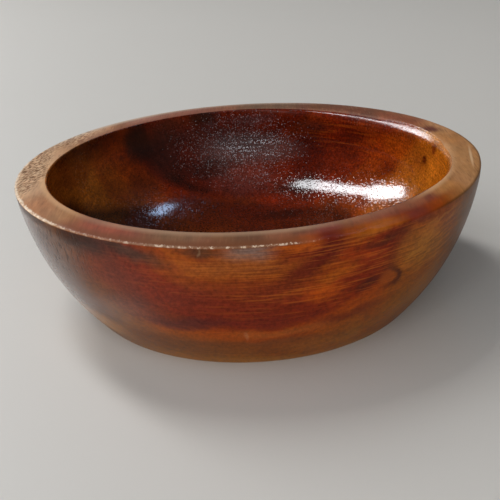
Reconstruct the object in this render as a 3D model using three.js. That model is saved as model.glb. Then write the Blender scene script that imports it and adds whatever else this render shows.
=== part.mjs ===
import * as THREE from 'three';

// A lathe-turned wooden bowl with a clear film inside and out. Millimetres, +Z up.
// The origin is the middle of the flat foot.

// Sizes of the wood
const rimRadius = 69.8;
const bowlHeight = 42.4;
const rimWidth = 8.9;
const footRadius = 51.4;
// how far the outer wall swells past a straight line from foot to rim
const wallBulge = 3.65;
// wood left under the middle of the hollow
const floorThickness = 8;
// 2 makes the hollow's section an ellipse, and more makes it squarer
const hollowFullness = 2.4;

// Softened edges
const outerRimRound = 0.8;
const innerRimRound = 0.8;
const footRound = 0.6;

// Clear films
const glossFilm = 0.3;
const satinFilm = 0.2;

// Fineness of the turning
const turnSegments = 48;
const wallSteps = 9;
const hollowSteps = 12;
const edgeSteps = 3;

const innerRimRadius = rimRadius - rimWidth;

// The outer wall is one arc from the edge of the foot to the edge of the rim.
const footEdge = new THREE.Vector2(footRadius, 0);
const rimEdge = new THREE.Vector2(rimRadius, bowlHeight);
const chord = rimEdge.clone().sub(footEdge);
const outward = new THREE.Vector2(chord.y, -chord.x).normalize();
const wallArcRadius = (chord.lengthSq() / 4 + wallBulge ** 2) / (2 * wallBulge);
const wallArcCentre = footEdge.clone()
  .lerp(rimEdge, 0.5)
  .addScaledVector(outward, wallBulge - wallArcRadius);

function wallAngleAtHeight(z) {
  return Math.asin((z - wallArcCentre.y) / wallArcRadius);
}

// Points up the outer wall between the softened edges, lifted off the wood by a film.
function wallPoints(lift) {
  const start = wallAngleAtHeight(footRound);
  const end = wallAngleAtHeight(bowlHeight - outerRimRound);
  const points = [];
  for (let i = 0; i <= wallSteps; i += 1) {
    const angle = start + (end - start) * i / wallSteps;
    const reach = wallArcRadius + lift;
    points.push(new THREE.Vector2(
      wallArcCentre.x + reach * Math.cos(angle),
      wallArcCentre.y + reach * Math.sin(angle),
    ));
  }
  return points;
}

// Points from the inner edge of the rim down to the middle of the hollow, lifted off the wood by a film.
function hollowPoints(lift) {
  const top = bowlHeight - innerRimRound;
  const radius = innerRimRadius - lift;
  const depth = top - floorThickness - lift;
  const power = 2 / hollowFullness;
  const points = [];
  for (let i = 0; i < hollowSteps; i += 1) {
    const angle = Math.PI / 2 * i / hollowSteps;
    points.push(new THREE.Vector2(
      radius * Math.cos(angle) ** power,
      top - depth * Math.sin(angle) ** power,
    ));
  }
  points.push(new THREE.Vector2(0, top - depth));
  return points;
}

// A softened edge between two points, drawn towards the sharp corner that it replaces.
function softEdge(from, corner, to) {
  const curve = new THREE.QuadraticBezierCurve(from, corner, to);
  return curve.getPoints(edgeSteps).slice(1, -1);
}

function turned(points) {
  return new THREE.LatheGeometry(points, turnSegments).rotateX(Math.PI / 2);
}

// The wood: flat foot, outer wall, flat rim and hollow in one closed outline.
function bowlBody() {
  const wall = wallPoints(0);
  const hollow = hollowPoints(0);
  const footFlat = new THREE.Vector2(footRadius - footRound, 0);
  const rimOuter = new THREE.Vector2(rimRadius - outerRimRound, bowlHeight);
  const rimInner = new THREE.Vector2(innerRimRadius + innerRimRound, bowlHeight);
  const rimCorner = new THREE.Vector2(innerRimRadius, bowlHeight);
  return turned([
    new THREE.Vector2(0, 0),
    footFlat,
    ...softEdge(footFlat, footEdge, wall[0]),
    ...wall,
    ...softEdge(wall[wallSteps], rimEdge, rimOuter),
    rimOuter,
    rimInner,
    ...softEdge(rimInner, rimCorner, hollow[0]),
    ...hollow,
  ]);
}

// The film in the hollow, with the wood's own outline as its underside.
function innerGlossCoat() {
  const underside = hollowPoints(0).reverse();
  const surface = hollowPoints(glossFilm);
  return turned([...underside, ...surface]);
}

// The film on the outer wall, a closed band that stops above the foot.
function outerSatinCoat() {
  const surface = wallPoints(satinFilm);
  const underside = wallPoints(0).reverse();
  return turned([...surface, ...underside, surface[0].clone()]);
}

function piece(name, geometry, finish) {
  const mesh = new THREE.Mesh(geometry, new THREE.MeshStandardMaterial(finish));
  mesh.name = name;
  return mesh;
}

const bowl = new THREE.Group();
bowl.add(
  piece('bowl_body', bowlBody(), { color: 0x9a6236, roughness: 0.65, metalness: 0 }),
  piece('inner_gloss_coat', innerGlossCoat(), { color: 0x5a2411, roughness: 0.12, metalness: 0 }),
  piece('outer_satin_coat', outerSatinCoat(), { color: 0x7a3c18, roughness: 0.35, metalness: 0 }),
);

export default bowl;
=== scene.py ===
import math
from types import SimpleNamespace

import bmesh
import bpy
from mathutils import Matrix, Vector, noise


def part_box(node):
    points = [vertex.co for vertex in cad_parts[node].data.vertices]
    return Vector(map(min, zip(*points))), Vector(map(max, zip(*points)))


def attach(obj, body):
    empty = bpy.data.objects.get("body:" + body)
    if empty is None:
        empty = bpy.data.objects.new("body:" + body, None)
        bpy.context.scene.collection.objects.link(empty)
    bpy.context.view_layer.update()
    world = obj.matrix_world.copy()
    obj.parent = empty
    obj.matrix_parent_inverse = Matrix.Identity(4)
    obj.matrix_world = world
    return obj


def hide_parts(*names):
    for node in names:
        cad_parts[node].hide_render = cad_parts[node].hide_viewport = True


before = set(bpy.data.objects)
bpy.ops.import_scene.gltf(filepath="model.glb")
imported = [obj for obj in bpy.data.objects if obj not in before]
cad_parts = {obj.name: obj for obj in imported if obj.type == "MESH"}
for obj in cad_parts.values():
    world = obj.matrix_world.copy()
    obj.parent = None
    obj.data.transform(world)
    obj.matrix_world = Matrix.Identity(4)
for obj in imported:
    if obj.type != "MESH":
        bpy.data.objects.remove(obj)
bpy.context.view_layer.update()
print("frame loaded:", sorted(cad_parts))

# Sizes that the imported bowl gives, in metres
millimetre = 0.001
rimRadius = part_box("outer_satin_coat")[1].x
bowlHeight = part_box("bowl_body")[1].z
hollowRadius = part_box("inner_gloss_coat")[1].x
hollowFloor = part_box("inner_gloss_coat")[0].z

# The rest of the turned outline
turning = {
    "quarterSteps": 150,
    "footRadius": 51.5 * millimetre,
    "wallBulge": 3.65 * millimetre,
    "hollowFullness": 2.4,
    "lipCrowding": 1.5,
    "wallSteps": 28,
    "hollowSteps": 64,
    "edgeSteps": 6,
    "rimSteps": 10,
    "outerRound": 0.5 * millimetre,
    "innerRound": 0.4 * millimetre,
    "filmOverRim": 0.2 * millimetre,
    "footRound": 0.6 * millimetre,
    "glossFilm": 0.3 * millimetre,
    "satinFilm": 0.2 * millimetre,
    "featherShare": 0.05,
    "sharpAngle": math.radians(60),
    "mirrorGap": 0.001 * millimetre,
    "mergeGap": 0.002 * millimetre,
}
rimInner = Vector((hollowRadius + turning["filmOverRim"], bowlHeight))
innerRadius = rimInner.x - turning["innerRound"]
rimOuter = Vector((rimRadius - turning["outerRound"], bowlHeight))


def paint(red, green, blue):
    # screen colour 0 to 255, turned into the light values that the shaders take
    def straight(value):
        value = value / 255
        return value / 12.92 if value <= 0.04045 else ((value + 0.055) / 1.055) ** 2.4
    return (straight(red), straight(green), straight(blue), 1.0)


def stain(colour, amount, at, reach, **form):
    # a mark in the wood, in rim radii; form may hold turn, spin, core and wander
    return {"colour": paint(*colour), "amount": amount, "at": at, "reach": reach, **form}


def wallOutline(sink):
    # the arc up the outer wall, sunk by a film that feathers out at both ends
    foot = Vector((turning["footRadius"], 0))
    rim = Vector((rimRadius, bowlHeight))
    chord = rim - foot
    outward = Vector((chord.y, -chord.x)).normalized()
    bulge = turning["wallBulge"]
    arcRadius = (chord.length_squared / 4 + bulge ** 2) / (2 * bulge)
    centre = (foot + rim) / 2 + outward * (bulge - arcRadius)
    low = math.asin((turning["footRound"] - centre.y) / arcRadius)
    high = math.asin((bowlHeight - turning["outerRound"] - centre.y) / arcRadius)
    points = []
    for step in range(turning["wallSteps"] + 1):
        share = step / turning["wallSteps"]
        angle = low + (high - low) * share
        depth = sink * min(1, min(share, 1 - share) / turning["featherShare"])
        points.append(centre + Vector((math.cos(angle), math.sin(angle))) * (arcRadius - depth))
    return points


def softEdge(start, corner, end):
    # points of a rounded edge, without its two ends
    points = []
    for step in range(1, turning["edgeSteps"]):
        share = step / turning["edgeSteps"]
        points.append(start.lerp(corner, share).lerp(corner.lerp(end, share), share))
    return points


def hollowOutline(sink):
    # from the flat of the rim, over its inner edge, down to the middle of the hollow, sunk by a film
    top = bowlHeight - turning["innerRound"]
    radius = innerRadius + sink
    depth = top - hollowFloor - turning["glossFilm"] + sink
    power = 2 / turning["hollowFullness"]
    points = []
    for step in range(turning["hollowSteps"]):
        angle = math.pi / 2 * (step / turning["hollowSteps"]) ** turning["lipCrowding"]
        points.append(Vector((radius * math.cos(angle) ** power, top - depth * math.sin(angle) ** power)))
    points.append(Vector((0, top - depth)))
    return [rimInner] + softEdge(rimInner, Vector((radius, bowlHeight)), points[0]) + points


def turnOnLathe(outline, quarterSteps):
    # spins an outline of radius and height a quarter turn, then mirrors it to a whole turn
    mesh = bmesh.new()
    verts = [mesh.verts.new((point.x, 0, point.y)) for point in outline]
    edges = [mesh.edges.new(pair) for pair in zip(verts, verts[1:])]
    bmesh.ops.spin(
        mesh, geom=verts + edges, cent=(0, 0, 0), axis=(0, 0, 1),
        angle=math.pi / 2, steps=quarterSteps,
    )
    for axis in ("X", "Y"):
        whole = mesh.verts[:] + mesh.edges[:] + mesh.faces[:]
        bmesh.ops.mirror(mesh, geom=whole, axis=axis, merge_dist=turning["mirrorGap"])
    bmesh.ops.remove_doubles(mesh, verts=mesh.verts, dist=turning["mergeGap"])
    bmesh.ops.recalc_face_normals(mesh, faces=mesh.faces)
    for edge in mesh.edges:
        edge.smooth = edge.calc_face_angle(0) < turning["sharpAngle"]
    return mesh


def meshObject(name, mesh, material):
    data = bpy.data.meshes.new(name)
    mesh.to_mesh(data)
    mesh.free()
    data.polygons.foreach_set("use_smooth", [True] * len(data.polygons))
    data.materials.append(material)
    made = bpy.data.objects.new(name, data)
    bpy.context.scene.collection.objects.link(made)
    print("mesh made:", name, len(data.polygons), "faces")
    return made


class Wire:
    # one output of a node, with arithmetic that adds Math nodes
    def __init__(self, tree, socket=None):
        self.tree = tree
        self.socket = socket

    def add(self, kind, settings=None, inputs=None, out=0):
        node = self.tree.nodes.new(kind)
        for key, value in (settings or {}).items():
            if key == "stops":
                self.fillRamp(node.color_ramp, value)
            else:
                setattr(node, key, value)
        for key, value in (inputs or {}).items():
            if isinstance(value, Wire):
                self.tree.links.new(value.socket, node.inputs[key])
            else:
                node.inputs[key].default_value = value
        return Wire(self.tree, node.outputs[out] if node.outputs else None)

    def fillRamp(self, ramp, stops):
        while len(ramp.elements) < len(stops):
            ramp.elements.new(0.5)
        for element, (place, colour) in zip(ramp.elements, stops):
            element.position = place
            element.color = colour

    def maths(self, operation, first, second=0.0):
        return self.add("ShaderNodeMath", {"operation": operation}, {0: first, 1: second})

    def __add__(self, other):
        return self.maths("ADD", self, other)

    def __radd__(self, other):
        return self.maths("ADD", other, self)

    def __sub__(self, other):
        return self.maths("SUBTRACT", self, other)

    def __rsub__(self, other):
        return self.maths("SUBTRACT", other, self)

    def __mul__(self, other):
        return self.maths("MULTIPLY", self, other)

    def __rmul__(self, other):
        return self.maths("MULTIPLY", other, self)

    def __abs__(self):
        return self.maths("ABSOLUTE", self)

    def between(self, low, high, atLow=0.0, atHigh=1.0):
        # atLow up to low and atHigh from high on, eased in between
        inputs = {0: self, 1: low, 2: high, 3: atLow, 4: atHigh}
        return self.add("ShaderNodeMapRange", {"interpolation_type": "SMOOTHSTEP"}, inputs)

    def swing(self, amount):
        # a noise value as a swing to either side of 0
        return (self - 0.5) * amount

    def blend(self, first, second):
        # a colour from first to second, with this value as the share
        settings = {"data_type": "RGBA", "blend_type": "MIX"}
        return self.add("ShaderNodeMix", settings, {0: self, 6: first, 7: second}, 2)

    def vector(self, operation, first, second=(0, 0, 0), out=0):
        return self.add("ShaderNodeVectorMath", {"operation": operation}, {0: first, 1: second}, out)

    def length(self, vector):
        return self.vector("LENGTH", vector, out="Value")

    def scaled(self, vector, factor):
        return self.add("ShaderNodeVectorMath", {"operation": "SCALE"}, {0: vector, "Scale": factor})

    def split(self, vector):
        node = self.add("ShaderNodeSeparateXYZ", {}, {0: vector}).socket.node
        return [Wire(self.tree, socket) for socket in node.outputs]

    def join(self, x, y, z):
        return self.add("ShaderNodeCombineXYZ", {}, {0: x, 1: y, 2: z})

    def noise(self, place, spread=(1, 1, 1), detail=2.0, roughness=0.5, out=0):
        # spread is how many features fit in one unit each way
        inputs = {"Vector": self.vector("MULTIPLY", place, spread), "Scale": 1.0,
                  "Detail": detail, "Roughness": roughness}
        return self.add("ShaderNodeTexNoise", {}, inputs, out)

    def cells(self, place, spread):
        # distance to the nearest of many scattered points, and two chances from 0 to 1 of that point
        inputs = {"Vector": self.vector("MULTIPLY", place, spread), "Scale": 1.0}
        node = self.add("ShaderNodeTexVoronoi", {}, inputs).socket.node
        chances = self.split(Wire(self.tree, node.outputs["Color"]))
        return Wire(self.tree, node.outputs["Distance"]), chances[0], chances[1]

    def turned(self, place, angles, at=(0, 0, 0), reach=(1, 1, 1)):
        # the place in axes of its own, turned by degrees, from a middle and in units of a reach
        rotation = [math.radians(angle) for angle in angles]
        inputs = {"Vector": place, "Location": at, "Rotation": rotation, "Scale": reach}
        return self.add("ShaderNodeMapping", {"vector_type": "TEXTURE"}, inputs)

    def fromMiddle(self, place, at, reach, turn=0, spin=0):
        # 0 at the middle of a mark, 1 at its edge; turn is degrees round Y, spin round Z
        return self.length(self.turned(place, (0, turn, spin), at, reach))

    def mark(self, place, spot):
        # the share of one mark: its amount over its core, down to 0 at its edge
        form = {key: spot[key] for key in ("at", "reach", "turn", "spin") if key in spot}
        core = spot.get("core", 0.2)
        return self.fromMiddle(place, **form).between(1.0, core, 0.0, spot.get("amount", 1.0))


# The figure of the wood, in units of the rim's radius: growth rings round an axis along Y
figure = {
    "pith": (0.0, 0.0, 0.75),
    "squash": (0.9, 0.0, 1.0),
    "taper": 0.035,
    "warp": 0.24,
    "warpNoise": {"spread": (1.6, 0.9, 1.6), "detail": 3.0, "roughness": 0.55},
    "rag": 0.09,
    "ragNoise": {"spread": (7.0, 3.0, 7.0), "detail": 3.0, "roughness": 0.6},
    # these two spread out from the pith, along the grain and sideways
    "streakNoise": {"spread": (9.0, 0.6, 0.9), "detail": 4.0, "roughness": 0.6},
    "growthNoise": {"spread": (60.0, 1.5, 2.0)},
    "streakAmount": 0.22,
    "fibreNoise": {"spread": (75.0, 6.0, 75.0), "detail": 3.0, "roughness": 0.65},
    "mottleNoise": {"spread": (15.0, 9.0, 15.0), "detail": 3.0, "roughness": 0.6},
    "patchNoise": {"spread": (3.1, 2.0, 4.3)},
    "blushNoise": {"spread": (5.0, 3.5, 5.0), "detail": 3.0, "roughness": 0.6},
    "blushShare": (0.45, 0.65),
    "darkRing": 0.545,
    "darkRingHalf": 0.05,
    "darkStreak": 0.12,
    "darkShare": (0.40, 0.62),
}

# Where each colour of ring lies, out from the pith
ringPlaces = {
    "core": 0.0,
    "brown": 0.20,
    "purple": 0.28,
    "orange": 0.36,
    "red": 0.44,
    "maroon": 0.50,
    "ember": 0.60,
    "golden": 0.68,
    "tan": 0.79,
}


def woodFigure(wire, finish):
    # values at a point in the solid wood, which the three finishes share
    place = wire.scaled(wire.add("ShaderNodeTexCoord", out="Object"), 1 / rimRadius)
    half = (0.5, 0.5, 0.5)
    drift = wire.vector("SUBTRACT", wire.noise(place, **figure["warpNoise"], out="Color"), half)
    rag = wire.vector("SUBTRACT", wire.noise(place, **figure["ragNoise"], out="Color"), half)
    bent = wire.vector("ADD", place, wire.scaled(drift, figure["warp"]))
    ragged = wire.vector("ADD", place, wire.scaled(rag, figure["rag"]))
    spoke = wire.vector("MULTIPLY", wire.vector("SUBTRACT", bent, figure["pith"]), figure["squash"])
    across, along, height = wire.split(place)
    ring = wire.length(spoke) - along * figure["taper"]
    grown = wire.join(ring, along, across)
    streak = wire.noise(grown, **figure["streakNoise"])
    growth = wire.noise(grown, **figure["growthNoise"])
    fibre = wire.noise(place, **figure["fibreNoise"])
    mottle = wire.noise(place, **figure["mottleNoise"])
    patchy = wire.noise(place, **figure["patchNoise"])
    shade = ring + streak.swing(figure["streakAmount"])
    fromDark = abs(ring + streak.swing(figure["darkStreak"]) - figure["darkRing"])
    dark = fromDark.between(figure["darkRingHalf"], 0.0) * patchy.between(*figure["darkShare"])
    radius = wire.length(wire.vector("MULTIPLY", place, (1, 1, 0)))
    detail = fibre.swing(finish["fibreShade"]) + growth.swing(finish["growthShade"]) + 1.0
    detail = mottle.swing(finish["mottleShade"]) + detail
    return SimpleNamespace(
        place=place, ragged=ragged, drift=drift, across=across, along=along, height=height, radius=radius,
        shade=shade, dark=dark, fibre=fibre, patchy=patchy, detail=detail,
    )


def zone(wood, limits):
    # the product of limits along the wood's axes; each names an axis, then what between takes
    shares = [getattr(wood, axis).between(*ends) for axis, *ends in limits]
    return math.prod(shares[1:], start=shares[0])


def ringColour(wire, wood, rings, marks):
    # growth rings, the broken dark ring, the listed marks, then fibre and fine rings
    stops = [(ringPlaces[key], rings[key]) for key in ringPlaces]
    colour = wire.add("ShaderNodeValToRGB", {"stops": stops}, {0: wood.shade})
    colour = (wood.dark * rings["darkAmount"]).blend(colour, rings["dark"])
    blush = wire.noise(wood.place, **figure["blushNoise"]).between(*figure["blushShare"])
    colour = (blush * rings["blushAmount"]).blend(colour, rings["blush"])
    for mark in marks.values():
        place = wood.ragged
        if "wander" in mark:
            place = wire.vector("ADD", place, wire.scaled(wood.drift, mark["wander"]))
        colour = wire.mark(place, mark).blend(colour, mark["colour"])
    return wire.scaled(colour, wood.detail)


def twoTones(values, share, colour, finish, name):
    # a colour made darker, then paler, by a noise where the share lets it
    for tone in (name + "Dark", name + "Pale"):
        amount = values.between(*finish[tone + "Share"]) * share
        colour = amount.blend(colour, finish[tone])
    return colour


def newMaterial(name):
    material = bpy.data.materials.new(name)
    material.use_nodes = True
    material.node_tree.nodes.clear()
    return material, Wire(material.node_tree)


def closeMaterial(wire, colour, roughness, bumps, others):
    # one Principled shader; bumps are (height, distance) pairs chained into its normal
    inputs = {"Base Color": colour, "Roughness": roughness, **others}
    for height, distance in bumps:
        bump = {"Height": height, "Distance": distance, "Strength": 1.0}
        if "Normal" in inputs:
            bump["Normal"] = inputs["Normal"]
        inputs["Normal"] = wire.add("ShaderNodeBump", {}, bump)
    shader = wire.add("ShaderNodeBsdfPrincipled", {}, inputs)
    wire.add("ShaderNodeOutputMaterial", {}, {"Surface": shader})


# Thin clear film on the outer wall. Tuples of two or four limits go to Wire.between as they are
satinFilm = {
    "roughness": 0.36,
    "patchRoughness": 0.2,
    "fibreRoughness": 0.25,
    "ior": 1.16,
    "coatRoughness": 0.20,
    "coatIor": 1.5,
    "fibreShade": 1.4,
    "growthShade": 0.5,
    "mottleShade": 0.5,
    "fibreDepth": 0.02 * millimetre,
    "lineNoise": {"spread": (6.0, 6.0, 140.0), "roughness": 0.6},
    "lineZone": {"at": (0.28, -0.92, 0.48), "reach": (0.80, 0.75, 0.26)},
    "lineElsewhere": 0.12,
    "lineDark": paint(78, 26, 14),
    "lineDarkShare": (0.50, 0.66, 0.0, 0.42),
    "linePale": paint(186, 102, 30),
    "linePaleShare": (0.47, 0.34, 0.0, 0.35),
    "lineDepth": 0.012 * millimetre,
    "rippleNoise": {"spread": (8.0, 8.0, 75.0)},
    "rippleTurn": -16,
    "rippleZone": {"at": (0.70, -0.71, 0.46), "reach": (0.26, 0.30, 0.22)},
    "rippleDark": paint(92, 54, 22),
    "rippleDarkShare": (0.50, 0.64, 0.0, 0.45),
    "ripplePale": paint(166, 112, 42),
    "ripplePaleShare": (0.48, 0.35, 0.0, 0.45),
    "knotAt": (0.490, -0.81, 0.375),
    "knotReach": (0.050, 0.12, 0.050),
    "knotHeart": paint(140, 70, 24),
    "knotHeartShare": (1.0, 0.5, 0.0, 0.5),
    "knotRing": paint(62, 24, 14),
    "knotRingHalf": 0.38,
    "knotOpen": (0.43, 0.53, 0.0, 0.85),
    "rubbedColour": paint(162, 106, 44),
    "rubbedHeight": (0.05, 0.01),
    "rubbedFibre": (0.3, 0.6, 0.24, 0.6),
    "pitNoise": {"spread": (85.0, 85.0, 22.0), "roughness": 0.6},
    "pitShare": (0.54, 0.66),
    "pitZone": {"at": (-0.74, -0.62, 0.50), "reach": (0.30, 0.40, 0.17)},
    "pitShade": 0.6,
    "pitDepth": 0.12 * millimetre,
    "pitThin": 0.5,
    "fullLeft": (-0.05, -0.45, 0.0, 0.35),
    "fullFarLeft": (-0.56, -0.70, 0.0, 0.55),
    "fullZone": {"at": (-0.48, -0.76, 0.26), "reach": (0.26, 0.25, 0.14), "amount": 0.5},
    "fullFibre": (0.35, 0.65, 0.8, 1.1),
    "coatLeast": 0.08,
    "thinZone": {"at": (-0.66, -0.75, 0.585), "reach": (0.15, 0.15, 0.055), "amount": 0.7},
    "thinTop": [("height", 0.555, 0.590), ("across", -0.45, -0.70, 0.0, 0.7)],
    "coatFoot": (0.02, 0.16, 0.4, 1.0),
}
satinRings = {
    "core": paint(138, 70, 18),
    "brown": paint(134, 62, 14),
    "purple": paint(112, 36, 11),
    "orange": paint(142, 68, 12),
    "red": paint(124, 41, 10),
    "maroon": paint(114, 33, 8),
    "ember": paint(146, 62, 7),
    "golden": paint(136, 68, 12),
    "tan": paint(134, 82, 28),
    "dark": paint(86, 28, 10),
    "darkAmount": 0.5,
    "blush": paint(122, 42, 9),
    "blushAmount": 0.35,
}
wallMarks = {
    "purpleHigh": stain((96, 26, 18), 0.9, (0.255, -0.96, 0.58), (0.13, 0.25, 0.09)),
    "purpleStreak": stain((90, 25, 12), 0.9, (0.20, -0.97, 0.52), (0.22, 0.25, 0.055), turn=-35),
    "redHeart": stain((108, 37, 18), 0.75, (-0.06, -0.95, 0.38), (0.46, 0.30, 0.15)),
    "lowBand": stain((104, 32, 18), 0.8, (-0.05, -0.90, 0.275), (0.40, 0.30, 0.05)),
    "lowBandRight": stain((98, 36, 16), 0.7, (0.33, -0.83, 0.245), (0.26, 0.30, 0.04), turn=-10),
    "orangeHigh": stain((144, 78, 30), 0.75, (-0.06, -0.98, 0.53), (0.28, 0.25, 0.07)),
    "orangeRight": stain((166, 70, 10), 0.9, (0.24, -0.92, 0.385), (0.12, 0.25, 0.06)),
    "goldStreak": stain((170, 84, 14), 0.65, (0.29, -0.93, 0.455), (0.11, 0.2, 0.035), turn=-8),
    "purpleLow": stain((80, 33, 27), 0.8, (-0.29, -0.86, 0.270), (0.27, 0.25, 0.055)),
    "dullLeft": stain((82, 42, 34), 0.65, (-0.46, -0.82, 0.35), (0.13, 0.2, 0.10)),
    "orangeLow": stain((148, 76, 26), 0.8, (0.10, -0.88, 0.21), (0.30, 0.25, 0.035)),
    "brownArc": stain((116, 56, 22), 0.7, (0.05, -0.83, 0.15), (0.42, 0.25, 0.03)),
    "emberRight": stain((140, 46, 8), 0.85, (0.37, -0.92, 0.53), (0.10, 0.25, 0.05)),
    "streakRight": stain((86, 32, 13), 0.9, (0.46, -0.88, 0.553), (0.17, 0.25, 0.024), turn=-8),
    # painted shade: a dark band just under the rim on the left front
    "shadeUnderRimLeft": stain((66, 42, 30), 0.9, (-0.42, -0.90, 0.570), (0.20, 0.25, 0.040), turn=18),
    "brownLeft": stain((74, 38, 22), 0.85, (-0.82, -0.52, 0.28), (0.58, 0.64, 0.60), core=0.3),
    "brownRight": stain((84, 52, 26), 0.75, (0.92, -0.40, 0.34), (0.28, 0.55, 0.60), core=0.3),
    "redLeft": stain((102, 42, 26), 0.75, (-0.50, -0.82, 0.47), (0.22, 0.30, 0.12)),
    "knotShadow": stain((78, 26, 12), 1.0, (0.41, -0.855, 0.375), (0.075, 0.15, 0.042)),
    "paleScratch": stain((170, 120, 84), 0.35, (-0.04, -0.87, 0.20), (0.012, 0.2, 0.028)),
    # painted sheen: a grey reflection on the film just under the front rim
    "sheenUnderRim": stain((102, 106, 102), 0.6, (-0.01, -1.0, 0.590), (0.13, 0.2, 0.060), core=0.0),
    "chipLow": stain((214, 176, 132), 0.6, (-0.185, -0.985, 0.590), (0.008, 0.1, 0.018), turn=25),
    # painted shade under the rim edge along the front and left, in the next three marks
    "shadeUnderFrontRim": stain((76, 48, 28), 0.8, (-0.17, -0.98, 0.590), (0.12, 0.2, 0.028)),
    "shadeLeft": stain((48, 30, 24), 0.9, (-0.60, -0.79, 0.572), (0.23, 0.22, 0.078)),
    "shadeUnderEdge": stain((60, 36, 26), 0.75, (-0.86, -0.50, 0.590), (0.26, 0.40, 0.035)),
    "goldEdge": stain((176, 122, 62), 0.85, (-0.72, -0.42, 0.11), (0.13, 0.36, 0.15), spin=33),
    "goldFoot": stain((178, 120, 62), 0.65, (-0.55, -0.61, 0.13), (0.16, 0.15, 0.09)),
    "footBrown": stain((98, 50, 22), 0.7, (-0.36, -0.76, 0.13), (0.36, 0.30, 0.09)),
    "goldRight": stain((166, 106, 34), 0.7, (0.62, -0.75, 0.46), (0.18, 0.25, 0.15)),
    "oliveFoot": stain((106, 62, 26), 0.5, (-0.05, -0.82, 0.11), (0.60, 0.3, 0.085), core=0.4),
    "goldFootRight": stain((146, 86, 30), 0.45, (0.25, -0.77, 0.09), (0.24, 0.25, 0.06)),
    "orangeRim": stain((172, 80, 18), 0.75, (0.17, -0.98, 0.595), (0.10, 0.2, 0.03)),
    "goldRim": stain((182, 108, 34), 0.5, (0.45, -0.89, 0.595), (0.15, 0.2, 0.025)),
    "redRim": stain((104, 42, 32), 0.7, (0.60, -0.80, 0.585), (0.09, 0.2, 0.035)),
}


def satinFilmMaterial():
    material, wire = newMaterial("satinFilmOverWood")
    wood = woodFigure(wire, satinFilm)
    colour = ringColour(wire, wood, satinRings, wallMarks)
    # fine lines left by the turning tool, most on the right
    lines = wire.noise(wood.place, **satinFilm["lineNoise"])
    lined = wire.mark(wood.place, satinFilm["lineZone"]) + satinFilm["lineElsewhere"]
    colour = twoTones(lines, lined, colour, satinFilm, "line")
    # slanted ripples in the grain near the right edge
    slant = wire.turned(wood.ragged, (0, satinFilm["rippleTurn"], 0))
    ripple = wire.noise(slant, **satinFilm["rippleNoise"])
    rippled = wire.mark(wood.place, satinFilm["rippleZone"])
    colour = twoTones(ripple, rippled, colour, satinFilm, "ripple")
    # a small knot with a dark ring, open on the left
    fromKnot = wire.fromMiddle(wood.ragged, satinFilm["knotAt"], satinFilm["knotReach"])
    colour = fromKnot.between(*satinFilm["knotHeartShare"]).blend(colour, satinFilm["knotHeart"])
    knotRing = abs(fromKnot - 1.0).between(satinFilm["knotRingHalf"], 0.0)
    knotRing = knotRing * wood.across.between(*satinFilm["knotOpen"])
    colour = knotRing.blend(colour, satinFilm["knotRing"])
    # the edge of the foot, rubbed down to a paler line
    rubbed = wood.height.between(*satinFilm["rubbedHeight"]) * wood.fibre.between(*satinFilm["rubbedFibre"])
    colour = rubbed.blend(colour, satinFilm["rubbedColour"])
    # pits in the film on the left
    pits = wire.noise(wood.place, **satinFilm["pitNoise"]).between(*satinFilm["pitShare"])
    pits = pits * wire.mark(wood.place, satinFilm["pitZone"])
    colour = wire.scaled(colour, 1 - pits * satinFilm["pitShade"])
    roughness = wood.patchy.swing(satinFilm["patchRoughness"]) + satinFilm["roughness"]
    roughness = roughness + wood.fibre.swing(satinFilm["fibreRoughness"])
    # the film is fullest round the left side and low down there
    full = wood.across.between(*satinFilm["fullLeft"]) + wood.across.between(*satinFilm["fullFarLeft"])
    full = full + wire.mark(wood.place, satinFilm["fullZone"])
    full = full * wood.fibre.between(*satinFilm["fullFibre"]) + satinFilm["coatLeast"]
    # and thin just under the rim there, in the pits, and low down where it is rubbed
    coat = wire.maths("MINIMUM", full, 1.0) * (1 - wire.mark(wood.place, satinFilm["thinZone"]))
    coat = coat * (1 - zone(wood, satinFilm["thinTop"])) * (1 - pits * satinFilm["pitThin"])
    coat = coat * wood.height.between(*satinFilm["coatFoot"])
    bumps = [
        (lines, satinFilm["lineDepth"]),
        (wood.fibre, satinFilm["fibreDepth"]),
        (1 - pits, satinFilm["pitDepth"]),
    ]
    closeMaterial(wire, colour, roughness, bumps, {
        "IOR": satinFilm["ior"], "Coat Weight": coat,
        "Coat Roughness": satinFilm["coatRoughness"], "Coat IOR": satinFilm["coatIor"],
    })
    return material


# Sanded wood of the rim and foot, almost bare
bareWood = {
    "roughness": 0.55,
    "filmGloss": 0.2,
    "tornDull": 0.2,
    "ior": 1.20,
    "fibreShade": 0.55,
    "growthShade": 0.25,
    "mottleShade": 0.9,
    "fibreDepth": 0.02 * millimetre,
    "poreNoise": {"spread": (150.0, 10.0, 150.0), "roughness": 0.6},
    "poreAlong": (-0.35, -0.70, 1.0, 0.35),
    "poreDark": paint(72, 42, 26),
    "poreDarkShare": (0.53, 0.70, 0.0, 0.36),
    "porePale": paint(206, 172, 134),
    "porePaleShare": (0.46, 0.30, 0.0, 0.16),
    "filmRag": 0.02,
    "filmRadius": (0.915, 0.965),
    "filmZone": [("across", 0.04, 0.26), ("across", 0.86, 0.70), ("along", -0.2, -0.5)],
    "crack": {"at": (0.945, -0.17, 0.60), "reach": (0.008, 0.20, 0.30), "spin": -11.5, "amount": 0.7},
    "crackColour": paint(214, 180, 142),
    "torn": {"at": (-0.950, -0.01, 0.60), "reach": (0.090, 0.50, 0.30), "core": 0.5},
    "tornBack": {"at": (-0.86, 0.44, 0.60), "reach": (0.11, 0.26, 0.30), "core": 0.4, "spin": -28,
                 "amount": 0.8},
    "tornNoise": {"spread": (135.0, 36.0, 135.0), "detail": 1.0},
    "tornTurn": -22,
    "tornShare": (0.50, 0.60),
    "tornColour": paint(104, 64, 32),
    "tornAmount": 0.8,
    "tornRidge": paint(228, 198, 160),
    "tornRidgeShare": (0.47, 0.36, 0.0, 0.6),
    "tornDepth": 0.20 * millimetre,
}

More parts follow.
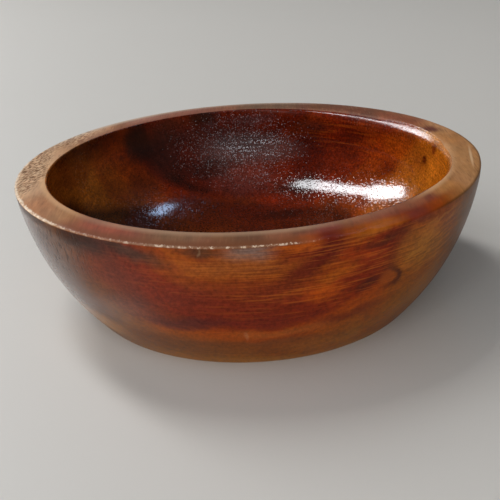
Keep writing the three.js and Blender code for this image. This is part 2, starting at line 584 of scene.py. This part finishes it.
# Bands that run round the rim; more and less change the amount in a part of the band
rimBands = {
    "paleInner": {"zone": [("radius", 0.910, 0.880), ("side", 0.55, 0.72), ("along", 0.15, -0.05)],
                  "less": [("across", 0.5, 0.7), ("along", -0.45, -0.25, 0.0, 0.49)],
                  "amount": 0.7, "colour": paint(214, 168, 122)},
    "frontEdge": {"zone": [("radius", 0.925, 0.985), ("across", 0.25, 0.10), ("along", -0.55, -0.80)],
                  "amount": 0.75, "colour": paint(114, 62, 28)},
    "frontInner": {"zone": [("radius", 0.925, 0.880), ("along", -0.55, -0.80)],
                   "less": [("across", 0.15, 0.40, 0.0, 0.455)],
                   "amount": 0.65, "colour": paint(176, 142, 114)},
    "warmEdge": {"zone": [("radius", 0.945, 0.885), ("along", 0.25, 0.50), ("across", 0.0, -0.3)],
                 "amount": 0.6, "colour": paint(120, 64, 40)},
    # painted sheen: the rim's outer edge made paler at the back
    "backEdgeSheen": {"zone": [("radius", 0.945, 0.995), ("along", 0.15, 0.55)],
                 "more": [("across", -0.2, -0.6, 0.0, 0.4)],
                 "less": [("across", 0.2, 0.5, 0.0, 0.4)],
                 "amount": 0.45, "colour": paint(200, 180, 162)},
    # painted shade: a dark line along the rim's outer edge at the right
    "shadeOuterEdge": {"zone": [("radius", 0.984, 0.996), ("across", 0.60, 0.75), ("along", 0.3, 0.1)],
                 "amount": 0.6, "colour": paint(70, 46, 30)},
}

# Pale wood along the worn outer edge, broken up by small chips
wornRim = {
    "colour": paint(238, 216, 190),
    "chipNoise": {"spread": (55.0, 55.0, 55.0), "detail": 3.0, "roughness": 0.6},
    "farLeft": [("across", -0.60, -0.85), ("along", 0.3, 0.0)],
    "farLeftAmount": 0.9,
    "left": [("across", -0.10, -0.45), ("along", 0.3, 0.0, 0.0, 0.25)],
    "leftChips": (0.40, 0.56, 0.30, 0.95),
    "front": [("across", 0.40, 0.10), ("along", -0.5, -0.8), ("across", -0.45, -0.15, 0.25, 0.80)],
    "frontChips": (0.50, 0.62, 0.10, 0.95),
    "radius": (0.9895, 0.998),
    "poreRag": 0.030,
    "farLeftRag": 0.004,
    "drop": (0.6 * millimetre, 0.2 * millimetre),
}
dryRings = {
    "core": paint(122, 80, 50),
    "brown": paint(118, 76, 46),
    "purple": paint(112, 56, 42),
    "orange": paint(132, 80, 46),
    "red": paint(130, 70, 48),
    "maroon": paint(126, 64, 42),
    "ember": paint(136, 78, 44),
    "golden": paint(150, 98, 54),
    "tan": paint(178, 130, 88),
    "dark": paint(98, 56, 44),
    "darkAmount": 0.6,
    "blush": paint(148, 86, 62),
    "blushAmount": 0.45,
}
rimMarks = {
    "paleLeft": stain((204, 162, 124), 0.8, (-0.92, -0.12, 0.60), (0.16, 0.62, 0.3), core=0.4),
    "warmRight": stain((166, 116, 66), 0.6, (0.93, -0.12, 0.60), (0.16, 0.50, 0.3), core=0.4),
    "dullBackRight": stain((88, 60, 44), 0.5, (0.55, 0.78, 0.60), (0.40, 0.30, 0.3), core=0.4),
    "purpleStreak": stain((122, 56, 46), 0.9, (0.28, -0.90, 0.60), (0.09, 0.30, 0.3)),
    "maroonNear": stain((138, 76, 46), 0.7, (0.61, -0.72, 0.60), (0.07, 0.25, 0.3)),
    "maroonFar": stain((108, 46, 34), 0.9, (0.69, -0.65, 0.60), (0.06, 0.25, 0.3)),
    "amberLeft": stain((172, 112, 70), 0.75, (-0.82, -0.51, 0.60), (0.15, 0.22, 0.3)),
    "rosyFront": stain((156, 74, 48), 0.75, (-0.56, -0.79, 0.60), (0.20, 0.24, 0.3)),
    "greyFront": stain((124, 90, 62), 0.8, (-0.26, -0.90, 0.60), (0.17, 0.20, 0.3)),
    "mossFront": stain((96, 62, 40), 0.7, (0.0, -0.94, 0.60), (0.10, 0.2, 0.3)),
    "purpleRight": stain((98, 46, 40), 0.9, (0.88, 0.285, 0.60), (0.07, 0.075, 0.3)),
    "amberRight": stain((174, 118, 66), 0.6, (0.92, 0.12, 0.60), (0.09, 0.16, 0.3)),
    "tanRight": stain((182, 124, 66), 0.75, (0.76, -0.57, 0.60), (0.11, 0.15, 0.3)),
    "redRight": stain((134, 74, 54), 0.8, (0.79, 0.46, 0.60), (0.18, 0.24, 0.3)),
    "greyBack": stain((108, 82, 64), 0.8, (0.14, 0.93, 0.60), (0.30, 0.18, 0.3)),
    "redBack": stain((146, 94, 80), 0.7, (-0.30, 0.88, 0.60), (0.28, 0.2, 0.3)),
    "mauveBack": stain((164, 116, 98), 0.75, (-0.54, 0.77, 0.60), (0.20, 0.20, 0.3)),
    # pink wood, made paler by a painted sheen towards the far left edge
    "pinkAndSheenLeftBack": stain((208, 162, 128), 0.7, (-0.79, 0.57, 0.60), (0.20, 0.26, 0.3)),
}


def bareWoodMaterial():
    material, wire = newMaterial("bareRimWood")
    wood = woodFigure(wire, bareWood)
    wood.side = abs(wood.across)
    colour = ringColour(wire, wood, dryRings, rimMarks)
    # short pores and pale fibres, quieter at the front
    pores = wire.noise(wood.place, **bareWood["poreNoise"])
    porous = wood.along.between(*bareWood["poreAlong"])
    colour = twoTones(pores, porous, colour, bareWood, "pore")
    # along the front and right the wall's film runs over the edge on to the rim
    ragged = wood.radius + wood.fibre.swing(bareWood["filmRag"])
    film = ragged.between(*bareWood["filmRadius"]) * zone(wood, bareWood["filmZone"])
    colour = film.blend(colour, ringColour(wire, wood, satinRings, wallMarks))
    # a fine pale crack on the right
    colour = wire.mark(wood.place, bareWood["crack"]).blend(colour, bareWood["crackColour"])
    for band in rimBands.values():
        amount = band["amount"]
        if "more" in band:
            amount = zone(wood, band["more"]) + amount
        if "less" in band:
            amount = amount - zone(wood, band["less"])
        colour = (zone(wood, band["zone"]) * amount).blend(colour, band["colour"])
    # torn end grain on the left
    dashes = wire.noise(wire.turned(wood.place, (0, 0, bareWood["tornTurn"])), **bareWood["tornNoise"])
    patch = wire.mark(wood.ragged, bareWood["torn"])
    patch = wire.maths("MAXIMUM", patch, wire.mark(wood.ragged, bareWood["tornBack"]))
    torn = dashes.between(*bareWood["tornShare"]) * patch
    colour = (dashes.between(*bareWood["tornRidgeShare"]) * patch).blend(colour, bareWood["tornRidge"])
    colour = (torn * bareWood["tornAmount"]).blend(colour, bareWood["tornColour"])
    # the worn outer edge
    chips = wire.noise(wood.place, **wornRim["chipNoise"])
    farLeft = zone(wood, wornRim["farLeft"])
    left = zone(wood, wornRim["left"]) + farLeft * wornRim["farLeftAmount"]
    front = zone(wood, wornRim["front"])
    worn = chips.between(*wornRim["leftChips"]) * left + chips.between(*wornRim["frontChips"]) * front
    edge = wood.radius + pores.swing(wornRim["poreRag"]) + farLeft * wornRim["farLeftRag"]
    low, high = [(bowlHeight - drop) / rimRadius for drop in wornRim["drop"]]
    worn = worn * edge.between(*wornRim["radius"]) * wood.height.between(low, high)
    colour = worn.blend(colour, wornRim["colour"])
    roughness = torn * bareWood["tornDull"] - film * bareWood["filmGloss"] + bareWood["roughness"]
    bumps = [(wood.fibre, bareWood["fibreDepth"]), (1 - torn, bareWood["tornDepth"])]
    closeMaterial(wire, colour, roughness, bumps, {"IOR": bareWood["ior"]})
    return material


# Thick clear film in the hollow
glossFilm = {
    "roughness": 0.08,
    "ior": 1.45,
    "fibreShade": 1.3,
    "growthShade": 0.5,
    "mottleShade": 0.8,
    "lineNoise": {"spread": (5.0, 5.0, 95.0), "roughness": 0.6},
    "lineZone": {"at": (0.56, 0.60, 0.49), "reach": (0.42, 0.42, 0.17)},
    "lineDark": paint(54, 12, 4),
    "lineDarkShare": (0.50, 0.66, 0.0, 0.5),
    "linePale": paint(172, 78, 16),
    "linePaleShare": (0.47, 0.34, 0.0, 0.25),
    "grainNoise": {"spread": (120.0, 120.0, 120.0), "detail": 0.0},
    "grainShade": 1.3,
    # painted sparkles of light in the film, thickest at the back in the sheen
    "sparkleZone": {"at": (-0.04, 0.80, 0.42), "reach": (0.50, 0.45, 0.27)},
    "sparkleCore": {"at": (0.04, 0.82, 0.405), "reach": (0.24, 0.30, 0.095)},
    "sparkleRows": {"spread": (5.0, 5.0, 75.0), "detail": 1.0},
    "sparkleRowShare": (0.40, 0.62),
    "sparkleColour": paint(236, 236, 244),
    "speckSpread": (155.0, 155.0, 155.0),
    "speckEdge": (0.50, 0.20),
    "speckChance": (1.0, 1.1),
    "moreInZone": 0.75,
    "moreInCore": 0.25,
    "paleLeast": 0.05,
    "paleInCore": 0.8,
    "paleByChance": 0.25,
    "peelNoise": {"spread": (105.0, 105.0, 105.0), "detail": 1.0},
    "peelDepth": 0.014 * millimetre,
    "roughNoise": {"spread": (125.0, 125.0, 125.0)},
    "roughShare": (0.54, 0.74),
    "roughSpeck": 0.2,
    "roughSpeckInCore": 0.7,
    "roughDepth": 0.10 * millimetre,
    "nibSpread": (88.0, 88.0, 88.0),
    "nibEdge": (0.52, 0.10),
    "nibChance": (0.15, 0.70),
    "nibDepth": 0.028 * millimetre,
    "dullEdge": (0.55, 0.30),
    "dullChance": (0.45, 0.60, 0.0, 0.14),
}
softSpots = {
    "lip": {"at": (0.74, 0.48, 0.585), "reach": (0.40, 0.50, 0.07), "core": 0.5, "amount": 0.17},
    "left": {"at": (-0.62, 0.58, 0.44), "reach": (0.40, 0.50, 0.24), "core": 0.6, "amount": 0.22},
}
glossRings = {
    "core": paint(86, 24, 6),
    "brown": paint(80, 20, 5),
    "purple": paint(70, 16, 6),
    "orange": paint(104, 32, 6),
    "red": paint(92, 22, 4),
    "maroon": paint(80, 18, 4),
    "ember": paint(100, 28, 4),
    "golden": paint(136, 58, 8),
    "tan": paint(176, 100, 24),
    "dark": paint(40, 13, 7),
    "darkAmount": 0.85,
    "blush": paint(112, 30, 4),
    "blushAmount": 0.4,
}
hollowMarks = {
    "backGloom": stain((50, 19, 15), 0.8, (-0.20, 0.80, 0.47), (0.46, 0.35, 0.21)),
    "sheenBase": stain((48, 20, 17), 0.6, (0.08, 0.80, 0.39), (0.25, 0.25, 0.13)),
    "blackTop": stain((40, 22, 16), 0.8, (-0.22, 0.85, 0.58), (0.12, 0.2, 0.06)),
    "backPurple": stain((60, 26, 23), 0.75, (-0.42, 0.75, 0.54), (0.17, 0.25, 0.11)),
    "darkTop": stain((24, 13, 12), 0.95, (-0.575, 0.64, 0.535), (0.09, 0.2, 0.12)),
    "darkLink": stain((42, 17, 12), 0.8, (-0.47, 0.69, 0.46), (0.17, 0.25, 0.14)),
    # paler worn wood with a painted highlight on the rounded lip at the right
    "paleLipHighlight": stain((196, 142, 92), 0.9, (0.865, 0.02, 0.605), (0.07, 0.50, 0.045), core=0.4),
    "darkMiddle": stain((46, 21, 15), 0.65, (-0.42, 0.68, 0.36), (0.16, 0.25, 0.10), turn=25),
    "blackFloor": stain((42, 10, 4), 0.85, (0.17, 0.42, 0.165), (0.20, 0.07, 0.06)),
    "orangeFloor": stain((116, 42, 10), 0.6, (-0.10, 0.54, 0.20), (0.30, 0.07, 0.06)),
    "redBack": stain((58, 10, 3), 0.9, (0.32, 0.76, 0.41), (0.19, 0.25, 0.15)),
    "orangeBack": stain((142, 50, 5), 0.55, (0.68, 0.50, 0.44), (0.16, 0.25, 0.12)),
    "emberHigh": stain((126, 44, 10), 0.8, (0.63, 0.58, 0.55), (0.12, 0.2, 0.06)),
    "orangeHigh": stain((160, 66, 8), 0.65, (0.735, 0.42, 0.495), (0.09, 0.2, 0.08)),
    # painted shade: the dark low left wall and front floor of the hollow, in the next two marks
    "shadeLeft": stain((36, 14, 4), 0.9, (-0.56, -0.075, 0.27), (0.40, 0.55, 0.31), core=0.75, wander=0.45),
    "shadeFloor": stain((54, 14, 3), 0.8, (-0.12, 0.18, 0.16), (0.74, 0.46, 0.16), core=0.72, wander=0.45),
    "lipShade": stain((42, 14, 5), 0.75, (-0.78, 0.40, 0.60), (0.32, 0.55, 0.12)),
    "leftBrown": stain((48, 15, 6), 0.55, (-0.55, 0.50, 0.30), (0.14, 0.2, 0.10)),
    # painted shade on the left inner wall, which faces away from the light
    "shadeLeftWall": stain((58, 18, 4), 0.4, (-0.69, 0.38, 0.35), (0.13, 0.24, 0.10)),
    "darkJoin": stain((36, 15, 11), 0.85, (-0.545, 0.645, 0.47), (0.10, 0.2, 0.09)),
    "darkTail": stain((38, 19, 15), 0.75, (-0.19, 0.72, 0.325), (0.26, 0.2, 0.08)),
    "redFloor": stain((116, 30, 5), 0.7, (0.12, 0.56, 0.20), (0.14, 0.08, 0.06)),
    "brownRight": stain((84, 20, 2), 0.7, (0.69, 0.43, 0.375), (0.10, 0.13, 0.05), turn=-30),
    "amberEnd": stain((206, 116, 27), 0.8, (0.85, -0.04, 0.51), (0.12, 0.38, 0.15)),
    "duskHigh": stain((44, 19, 15), 0.55, (0.36, 0.79, 0.52), (0.13, 0.20, 0.06)),
    # painted sheen: a greyish reflection on the back wall of the hollow, in the next two marks
    "sheenHigh": stain((70, 50, 50), 0.4, (0.04, 0.86, 0.555), (0.20, 0.20, 0.045)),
    "sheenCentre": stain((84, 54, 50), 0.35, (-0.02, 0.68, 0.27), (0.26, 0.20, 0.09)),
    "pinHole": stain((36, 14, 8), 0.5, (-0.64, 0.56, 0.47), (0.018, 0.03, 0.018)),
    "spotLow": stain((90, 26, 7), 0.85, (0.83, 0.19, 0.49), (0.022, 0.04, 0.036)),
    "spotHigh": stain((104, 34, 12), 0.85, (0.86, 0.11, 0.550), (0.030, 0.045, 0.028)),
}


def glossFilmMaterial():
    material, wire = newMaterial("glossFilmOverWood")
    wood = woodFigure(wire, glossFilm)
    colour = ringColour(wire, wood, glossRings, hollowMarks)
    # fine lines left by the turning tool, at the back on the right
    lines = wire.noise(wood.place, **glossFilm["lineNoise"])
    lined = wire.mark(wood.place, glossFilm["lineZone"])
    colour = twoTones(lines, lined, colour, glossFilm, "line")
    grain = wire.noise(wood.place, **glossFilm["grainNoise"])
    colour = wire.scaled(colour, grain.swing(glossFilm["grainShade"]) + 1.0)
    # painted sparkles: pale specks in the film that stand for glints of light, thickest in rows at the back
    # where the sheen is
    fromSpeck, chance, tint = wire.cells(wood.place, glossFilm["speckSpread"])
    rows = wire.noise(wood.place, **glossFilm["sparkleRows"]).between(*glossFilm["sparkleRowShare"])
    sparkleArea = wire.mark(wood.place, glossFilm["sparkleZone"])
    core = wire.mark(wood.place, glossFilm["sparkleCore"]) * rows
    chance = chance + sparkleArea * glossFilm["moreInZone"] + core * glossFilm["moreInCore"]
    specks = fromSpeck.between(*glossFilm["speckEdge"]) * chance.between(*glossFilm["speckChance"])
    pale = core * glossFilm["paleInCore"] + tint * tint * glossFilm["paleByChance"] + glossFilm["paleLeast"]
    colour = (specks * pale).blend(colour, glossFilm["sparkleColour"])
    # the film's own unevenness, and the specks and nibs that stand out of it
    peel = wire.noise(wood.place, **glossFilm["peelNoise"])
    rough = wire.noise(wood.place, **glossFilm["roughNoise"]).between(*glossFilm["roughShare"]) * core
    rough = specks * (core * glossFilm["roughSpeckInCore"] + glossFilm["roughSpeck"]) + rough
    fromNib, chance, shine = wire.cells(wood.place, glossFilm["nibSpread"])
    nibs = fromNib.between(*glossFilm["nibEdge"]) * chance.between(*glossFilm["nibChance"])
    roughness = fromNib.between(*glossFilm["dullEdge"]) * shine.between(*glossFilm["dullChance"])
    roughness = roughness + glossFilm["roughness"]
    for spot in softSpots.values():
        roughness = roughness + wire.mark(wood.place, spot)
    bumps = [
        (peel, glossFilm["peelDepth"]),
        (rough, glossFilm["roughDepth"]),
        (nibs, glossFilm["nibDepth"]),
    ]
    closeMaterial(wire, colour, roughness, bumps, {"IOR": glossFilm["ior"]})
    return material


# Edges of the rim: chips along the left front, a sanded stretch at the right front, and the rounded lip
# of the hollow on the right and at the back. Directions are degrees round from +X
chippedEdge = {"band": 1.2 * millimetre, "depth": 0.8 * millimetre, "spread": 650.0, "from": 0.22,
               "pull": (-0.7, -0.7), "angle": -135, "half": 75}
sandedEdge = {"band": 4.0 * millimetre, "depth": 0.9 * millimetre, "pull": (-0.5, -0.85),
              "angle": -46, "half": 40}
roundLip = {
    "reach": 4.6 * millimetre,
    "angle": 24,
    "half": 66,
    "flatShare": 0.8,
    "flatStart": 0.25,
    "flatAngle": 20,
    "flatHalf": 19,
    "filmOver": 0.8,
    "lean": 0.75 * millimetre,
    "leanDepth": 4.0 * millimetre,
    "leanAngle": 58,
    "leanHalf": 44,
    "inward": 0.9 * millimetre,
    "inwardFull": 2.5 * millimetre,
    "inwardOut": 5.0 * millimetre,
    "inwardDown": 13.0 * millimetre,
    "inwardAngle": 30,
    "inwardHalf": 45,
}


def towards(angle, middle, half):
    # 1 in the middle direction, down to 0 at half to either side
    turn = abs((angle - math.radians(middle) + math.pi) % (2 * math.pi) - math.pi)
    return max(0, 1 - (turn / math.radians(half)) ** 2)


# Each of the next four functions gives how far a point moves, outwards and up
def lipRounding(past, radius, angle):
    reach = roundLip["reach"] * towards(angle, roundLip["angle"], roundLip["half"])
    if abs(past) >= reach or radius >= rimInner.x + roundLip["reach"]:
        return Vector((0, 0))
    flat = towards(angle, roundLip["flatAngle"], roundLip["flatHalf"])
    share = ((past + reach) / (2 * reach)) ** (1 + flat * roundLip["filmOver"])
    curve = Vector(((1 - share) ** 2, share ** 2))
    # a flatter bevel of the same depth, where the light is broad and soft
    start = roundLip["flatStart"]
    bevel = Vector((max(0, 1 - start - share, 1 - 2 * share), max(0, share - start, 2 * share - 1)))
    curve = curve.lerp(bevel, flat * roundLip["flatShare"]) * reach
    return Vector((curve.x - max(-past, 0), max(past, 0) - curve.y))


def lipLean(fall, past, radius, angle):
    # the wall leans in under the lip, and the whole lip stands further in on the right
    inward = 0
    if radius < innerRadius + turning["glossFilm"]:
        depth = fall / roundLip["leanDepth"]
        lean = roundLip["lean"] * depth * math.exp(1 - depth) * radius / innerRadius
        inward += lean * towards(angle, roundLip["leanAngle"], roundLip["leanHalf"])
    band = roundLip["inwardDown"] if past > 0 else roundLip["inwardOut"]
    away = max(0, (abs(past) - roundLip["inwardFull"]) / (band - roundLip["inwardFull"]))
    if away < 1 and radius < rimInner.x + roundLip["inwardOut"]:
        share = towards(angle, roundLip["inwardAngle"], roundLip["inwardHalf"])
        inward += roundLip["inward"] * share * (1 - away ** 2 * (3 - 2 * away))
    return Vector((-inward, 0))


def edgeSanding(fall, radius, angle):
    # the outer edge, worn down where the hand sands most
    near = max(0, 1 - (fall + abs(rimRadius - radius)) / sandedEdge["band"])
    share = near ** 2 * towards(angle, sandedEdge["angle"], sandedEdge["half"])
    return Vector(sandedEdge["pull"]) * (sandedEdge["depth"] * share)


def edgeChip(place, fall, radius, angle):
    # bites out of the outer edge, where the noise is high
    near = 1 - (fall + rimRadius - radius) / chippedEdge["band"]
    if near <= 0 or towards(angle, chippedEdge["angle"], chippedEdge["half"]) == 0:
        return Vector((0, 0))
    chip = max(0, noise.noise(place * chippedEdge["spread"]) - chippedEdge["from"])
    return Vector(chippedEdge["pull"]) * (chip * chippedEdge["depth"] * near)


def wearEdges(mesh):
    for vert in mesh.verts:
        radius = math.hypot(vert.co.x, vert.co.y)
        fall = bowlHeight - vert.co.z
        angle = math.atan2(vert.co.y, vert.co.x)
        # how far down past the inner edge, or less than nothing on the flat of the rim
        past = fall - max(0, radius - innerRadius)
        shift = lipRounding(past, radius, angle) + lipLean(fall, past, radius, angle)
        shift += edgeSanding(fall, radius, angle) + edgeChip(vert.co, fall, radius, angle)
        if shift.length > 0:
            vert.co += Vector((vert.co.x, vert.co.y, 0)) * (shift.x / radius) + Vector((0, 0, shift.y))


def makePiece(name, outline, material, node):
    mesh = turnOnLathe(outline, turning["quarterSteps"])
    wearEdges(mesh)
    piece = meshObject(name, mesh, material)
    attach(piece, "root")
    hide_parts(node)


def woodBlock():
    wall = wallOutline(turning["satinFilm"])
    footFlat = Vector((turning["footRadius"] - turning["footRound"], 0))
    outline = [Vector((0, 0)), footFlat]
    outline += softEdge(footFlat, Vector((turning["footRadius"], 0)), wall[0])
    outline += wall
    outline += softEdge(wall[-1], Vector((rimRadius, bowlHeight)), rimOuter)
    outline += [rimOuter.lerp(rimInner, step / turning["rimSteps"]) for step in range(turning["rimSteps"])]
    outline += hollowOutline(turning["glossFilm"])
    makePiece("turned_wood", outline, bareWoodMaterial(), "bowl_body")


def glossCoat():
    outline = hollowOutline(0) + hollowOutline(turning["glossFilm"])[::-1]
    makePiece("hollow_gloss_film", outline, glossFilmMaterial(), "inner_gloss_coat")


def satinCoat():
    outline = wallOutline(0) + wallOutline(turning["satinFilm"])[::-1]
    makePiece("wall_satin_film", outline, satinFilmMaterial(), "outer_satin_coat")


woodBlock()
glossCoat()
satinCoat()

# Camera at the photograph's viewing angle; the distance is in rim radii, the angles in degrees
cameraSet = {"lens": 57.6, "sensor": 36.0, "distance": 3.781, "elevation": 25.80,
             "yaw": -0.15, "pitch": 2.16, "roll": -3.28, "nearest": 0.01}


def makeCamera():
    rise = math.radians(cameraSet["elevation"])
    yaw = math.radians(cameraSet["yaw"])
    pitch = math.radians(cameraSet["pitch"])
    roll = math.radians(cameraSet["roll"])
    reach = cameraSet["distance"] * rimRadius
    place = Vector((0, -reach * math.cos(rise), reach * math.sin(rise)))
    right = Vector((1, 0, 0))
    ahead = Vector((0, math.cos(rise), -math.sin(rise)))
    up = right.cross(ahead)
    ahead = ahead * (math.cos(yaw) * math.cos(pitch)) + right * (math.sin(yaw) * math.cos(pitch))
    ahead = (ahead + up * math.sin(pitch)).normalized()
    right = ahead.cross(Vector((0, 0, 1))).normalized()
    up = right.cross(ahead)
    rolledRight = right * math.cos(roll) + up * math.sin(roll)
    rolledUp = up * math.cos(roll) - right * math.sin(roll)
    data = bpy.data.cameras.new("photoCamera")
    data.lens = cameraSet["lens"]
    data.sensor_width = cameraSet["sensor"]
    data.clip_start = cameraSet["nearest"]
    camera = bpy.data.objects.new("photoCamera", data)
    turn = Matrix((rolledRight, rolledUp, -ahead)).transposed().to_4x4()
    camera.matrix_world = Matrix.Translation(place) @ turn
    bpy.context.scene.collection.objects.link(camera)
    bpy.context.scene.camera = camera


# Strips under a ceiling, with their ends in units of its height, and panels round the bowl. The strips
# that show in the gloss are kept apart from the lamps that light the wood, so each can be set alone.
ceilingHeight = 1.6
tubeWhite = (0.94, 0.97, 1.0)
strips = {
    "tubeEnd": {"near": (-0.252, 0.22), "far": (-0.365, 0.372), "width": 0.18, "radiance": 14.0,
                "colour": tubeWhite, "feeds": "glossy", "shape": "ELLIPSE"},
    "tubeMirrored": {"near": (-0.285, 0.265), "far": (-0.71, 0.84), "width": 0.17, "radiance": 24.0,
                     "colour": tubeWhite, "feeds": "glossy"},
    "tubeMirroredFar": {"near": (-0.70, 0.81), "far": (-1.24, 1.57), "width": 0.34, "radiance": 25.0,
                        "colour": tubeWhite, "feeds": "glossy"},
    "tubeTip": {"near": (-1.09, 1.36), "far": (-1.37, 1.75), "width": 0.40, "radiance": 14.0,
                "colour": tubeWhite, "feeds": "glossy", "shape": "ELLIPSE"},
    "tubeShed": {"near": (-0.20, 0.09), "far": (-0.95, 1.05), "width": 0.16, "radiance": 13.4,
                 "colour": (1.0, 0.99, 0.97), "feeds": "diffuse"},
    "smallMirrored": {"near": (0.331, 0.60), "far": (0.344, 0.85), "width": 0.095, "radiance": 11.0,
                      "colour": (0.45, 0.66, 1.0), "feeds": "glossy"},
}
panels = {
    "leftFill": {"azimuth": -118, "elevation": 48, "reach": 2.4, "size": (2.7, 1.6), "radiance": 1.55,
                 "colour": (1.0, 1.0, 1.0), "feeds": "diffuse"},
    "frontFill": {"azimuth": -168, "elevation": 18, "reach": 2.0, "size": (2.0, 1.2), "radiance": 2.6,
                  "colour": (1.0, 1.0, 1.0), "feeds": "diffuse"},
}
room = {"strength": 0.04, "glowAzimuth": 183, "glowElevation": 40, "glowFrom": 0.80, "glowTo": 0.99,
        "glowStrength": 0.6}


def skyward(azimuth, elevation):
    # a direction from the bowl; the azimuth is degrees from +Y towards +X
    side = math.radians(azimuth)
    rise = math.radians(elevation)
    return Vector((math.sin(side) * math.cos(rise), math.cos(side) * math.cos(rise), math.sin(rise)))


def hangLight(name, light, size, matrix):
    data = bpy.data.lights.new(name, "AREA")
    data.shape = light.get("shape", "RECTANGLE")
    data.size, data.size_y = size
    data.energy = light["radiance"] * math.pi * size[0] * size[1]
    data.color = light["colour"]
    lamp = bpy.data.objects.new(name, data)
    lamp.matrix_world = matrix
    lamp.visible_diffuse = light["feeds"] == "diffuse"
    lamp.visible_glossy = light["feeds"] == "glossy"
    bpy.context.scene.collection.objects.link(lamp)


def makeLights():
    for name, strip in strips.items():
        near = Vector((*strip["near"], 1)) * ceilingHeight
        far = Vector((*strip["far"], 1)) * ceilingHeight
        run = far - near
        turn = Matrix.Rotation(math.atan2(run.y, run.x), 4, "Z")
        size = (run.length, strip["width"] * ceilingHeight)
        hangLight(name, strip, size, Matrix.Translation((near + far) / 2) @ turn)
    for name, panel in panels.items():
        way = skyward(panel["azimuth"], panel["elevation"])
        aim = (-way).to_track_quat("-Z", "Y").to_matrix().to_4x4()
        hangLight(name, panel, panel["size"], Matrix.Translation(way * panel["reach"]) @ aim)


def makeRoom():
    world = bpy.data.worlds.new("softRoom")
    world.use_nodes = True
    world.node_tree.nodes.clear()
    wire = Wire(world.node_tree)
    way = wire.add("ShaderNodeTexCoord", out="Generated")
    toGlow = skyward(room["glowAzimuth"], room["glowElevation"])
    facing = wire.vector("DOT_PRODUCT", way, toGlow, "Value")
    strength = facing.between(room["glowFrom"], room["glowTo"]) * room["glowStrength"] + room["strength"]
    background = wire.add("ShaderNodeBackground", {}, {"Color": (1, 1, 1, 1), "Strength": strength})
    wire.add("ShaderNodeOutputWorld", {}, {"Surface": background})
    bpy.context.scene.world = world


# Pale floor that curves up into a wall all round, far from the bowl
floorSet = {"flatRadius": 3.4, "wallRadius": 4.0, "wallHeight": 0.9, "below": 0.02 * millimetre,
            "quarterSteps": 24, "colour": paint(206, 204, 200), "roughness": 0.6, "ior": 1.4}


def makeFloor():
    low = -floorSet["below"]
    flatEnd = Vector((floorSet["flatRadius"], low))
    wallStart = Vector((floorSet["wallRadius"], floorSet["wallRadius"] - floorSet["flatRadius"]))
    outline = [Vector((0, low)), flatEnd]
    outline += softEdge(flatEnd, Vector((floorSet["wallRadius"], low)), wallStart)
    outline += [wallStart, Vector((floorSet["wallRadius"], floorSet["wallHeight"]))]
    material, wire = newMaterial("paleFloor")
    closeMaterial(wire, floorSet["colour"], floorSet["roughness"], [], {"IOR": floorSet["ior"]})
    floor = meshObject("paleFloor", turnOnLathe(outline, floorSet["quarterSteps"]), material)


makeCamera()
makeLights()
makeRoom()
makeFloor()
bpy.context.scene.view_settings.view_transform = "Standard"
print("camera, lights and floor made")
